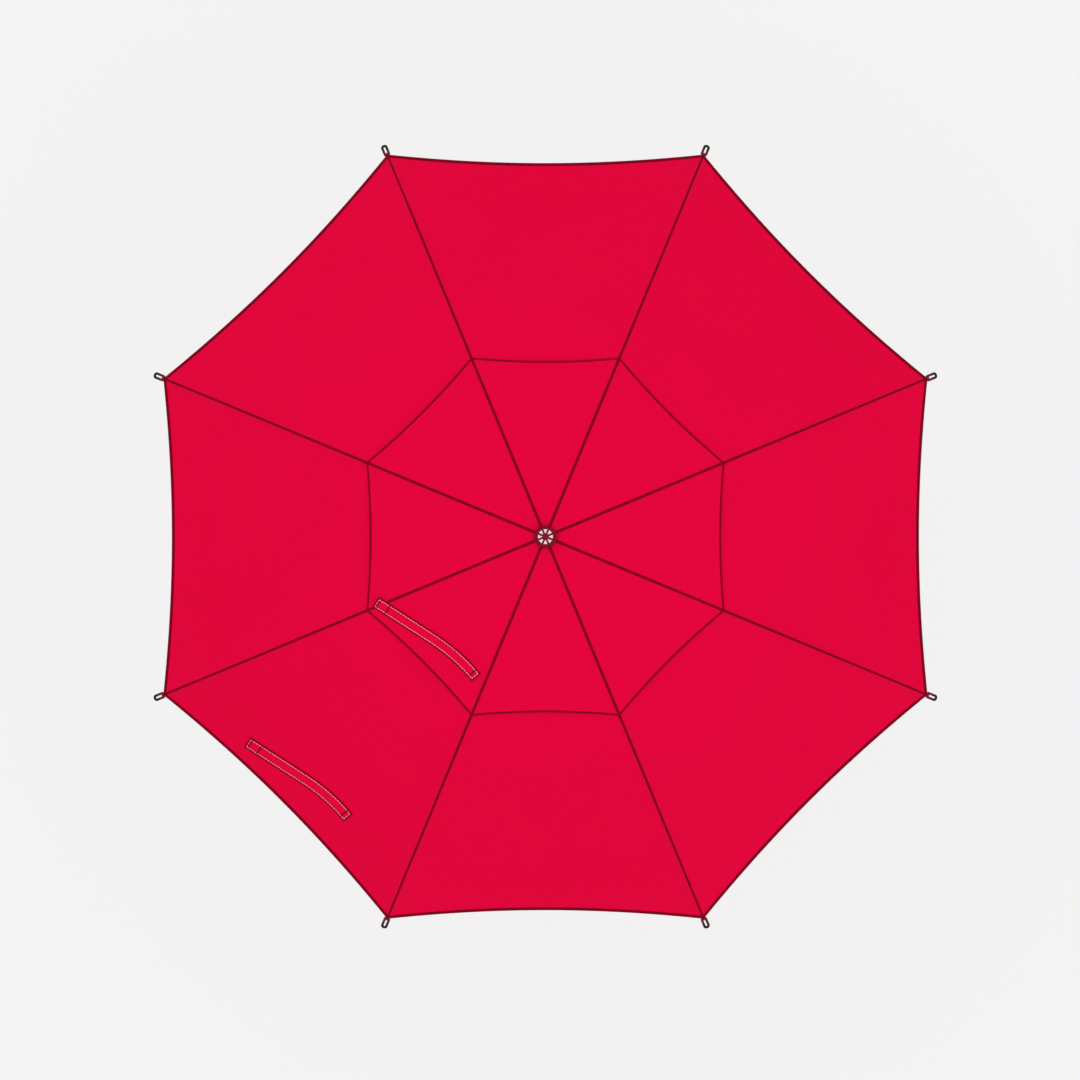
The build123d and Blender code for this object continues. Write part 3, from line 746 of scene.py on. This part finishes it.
add_strap("strap_vent", VENT_STRAP_START, UPPER, {-1: "rib_5", 1: "rib_6"}, UPPER_PLEAT)
add_strap(
    "strap_hem", HEM_STRAP_START, LOWER, {-1: "rib_end_5", 1: "rib_end_6"}, OUTER_PLEAT
)


# ---------------------------------------------------------------- inlay in the hub


def add_inlay():
    """Pale disc under the ferrule's cap, with a pad that fills each of its windows."""
    low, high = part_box("ferrule_disc")
    cap_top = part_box("ferrule_cap")[1][2]
    bore, rim = INLAY_BORE, high[0]
    base, top = low[2], high[2]
    pad_top = cap_top - INLAY_DEPTH
    sections = [(bore, base), (rim, base), (rim, top), (bore, top)]
    sides = INLAY_SIDES
    points, faces = [], []
    for step in range(sides):
        angle = 2 * pi * step / sides
        points += [(radius * cos(angle), radius * sin(angle), z) for radius, z in sections]
    for step in range(sides):
        first, following = step * 4, (step + 1) % sides * 4
        for side in range(4):
            other = (side + 1) % 4
            faces.append((first + side, following + side, following + other, first + other))
    inner_half, outer_half = 0.5 * WINDOW_NARROW - PAD_GAP, 0.5 * WINDOW_WIDE - PAD_GAP
    outline = [
        (WINDOW_START + PAD_GAP, -inner_half),
        (WINDOW_STOP - PAD_GAP, -outer_half),
        (WINDOW_STOP - PAD_GAP, outer_half),
        (WINDOW_START + PAD_GAP, inner_half),
    ]
    middle = (WINDOW_MIDDLE, 0.0)
    levels = ((top, 1.0), (pad_top - PAD_BEVEL, 1.0), (pad_top, PAD_TOP_SHARE))
    for panel in range(PANELS):
        turn = radians(panel * PANEL_DEG)
        start = len(points)
        for z, size in levels:
            for out, across in outline:
                x = middle[0] + (out - middle[0]) * size
                y = middle[1] + (across - middle[1]) * size
                points.append(
                    (x * cos(turn) - y * sin(turn), x * sin(turn) + y * cos(turn), z)
                )
        for level in range(len(levels) - 1):
            for side in range(4):
                one, other = start + level * 4 + side, start + level * 4 + (side + 1) % 4
                faces.append((one, other, other + 4, one + 4))
        last = start + (len(levels) - 1) * 4
        faces.append((last, last + 1, last + 2, last + 3))
    inlay = new_piece("ferrule_inlay", points, faces, [inlay_plastic])
    inlay.data.set_sharp_from_angle(angle=SHARP_ANGLE)
    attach(inlay, "shaft_and_handle")
    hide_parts("ferrule_disc")


add_inlay()


# ------------------------------------------------------------ floor, lights, camera


def floor():
    """Plain pale floor, mostly unshaded as the camera and reflections see it."""
    mesh = bpy.data.meshes.new("floor")
    half = FLOOR_HALF
    mesh.from_pydata(
        [(-half, -half, 0), (half, -half, 0), (half, half, 0), (-half, half, 0)],
        [],
        [(0, 1, 2, 3)],
    )
    material = bpy.data.materials.new("floor")
    material.use_nodes = True
    tree = material.node_tree
    output = tree.nodes["Material Output"]
    paper = tree.nodes["Principled BSDF"]
    paper.inputs["Base Color"].default_value = PAPER
    paper.inputs["Roughness"].default_value = 0.9
    paper.inputs["Specular IOR Level"].default_value = 0.0
    glow = tree.nodes.new("ShaderNodeEmission")
    glow.inputs["Color"].default_value = PAPER
    path = tree.nodes.new("ShaderNodeLightPath")
    share = tree.nodes.new("ShaderNodeMath")
    share.operation = "MULTIPLY"
    share.inputs[1].default_value = FLOOR_GLOW
    mix = tree.nodes.new("ShaderNodeMixShader")
    seen = path.outputs["Is Camera Ray"]
    for ray in ("Is Glossy Ray", "Is Transmission Ray"):
        either = tree.nodes.new("ShaderNodeMath")
        either.operation = "MAXIMUM"
        tree.links.new(seen, either.inputs[0])
        tree.links.new(path.outputs[ray], either.inputs[1])
        seen = either.outputs["Value"]
    tree.links.new(seen, share.inputs[0])
    tree.links.new(share.outputs["Value"], mix.inputs["Fac"])
    tree.links.new(paper.outputs["BSDF"], mix.inputs[1])
    tree.links.new(glow.outputs["Emission"], mix.inputs[2])
    tree.links.new(mix.outputs["Shader"], output.inputs["Surface"])
    mesh.materials.append(material)
    plane = bpy.data.objects.new("floor", mesh)
    plane.location = (0, 0, -0.0005)
    bpy.context.scene.collection.objects.link(plane)


def area_light(name, place, size, power):
    """Square lamp that points at the middle of the umbrella."""
    lamp = bpy.data.lights.new(name, "AREA")
    lamp.size = size
    lamp.energy = power
    holder = bpy.data.objects.new(name, lamp)
    holder.location = place
    aim = Vector(LAMPS_AIM) - Vector(place)
    holder.rotation_euler = aim.to_track_quat("-Z", "Y").to_euler()
    bpy.context.scene.collection.objects.link(holder)


scene = bpy.context.scene
floor()
area_light("key", (-1.6, 1.4, 4.2), 3.0, 24)
area_light("fill", (2.2, -1.8, 3.6), 3.5, 20)

world = bpy.data.worlds.new("studio")
world.use_nodes = True
background = world.node_tree.nodes["Background"]
background.inputs["Color"].default_value = (1, 1, 1, 1)
background.inputs["Strength"].default_value = WORLD_LIGHT
scene.world = world

scene.view_settings.view_transform = "Standard"

camera_data = bpy.data.cameras.new("camera")
camera_data.type = "ORTHO"
camera_data.ortho_scale = VIEW_SPAN
camera = bpy.data.objects.new("camera", camera_data)
camera.location = CAMERA_PLACE
scene.collection.objects.link(camera)
scene.camera = camera
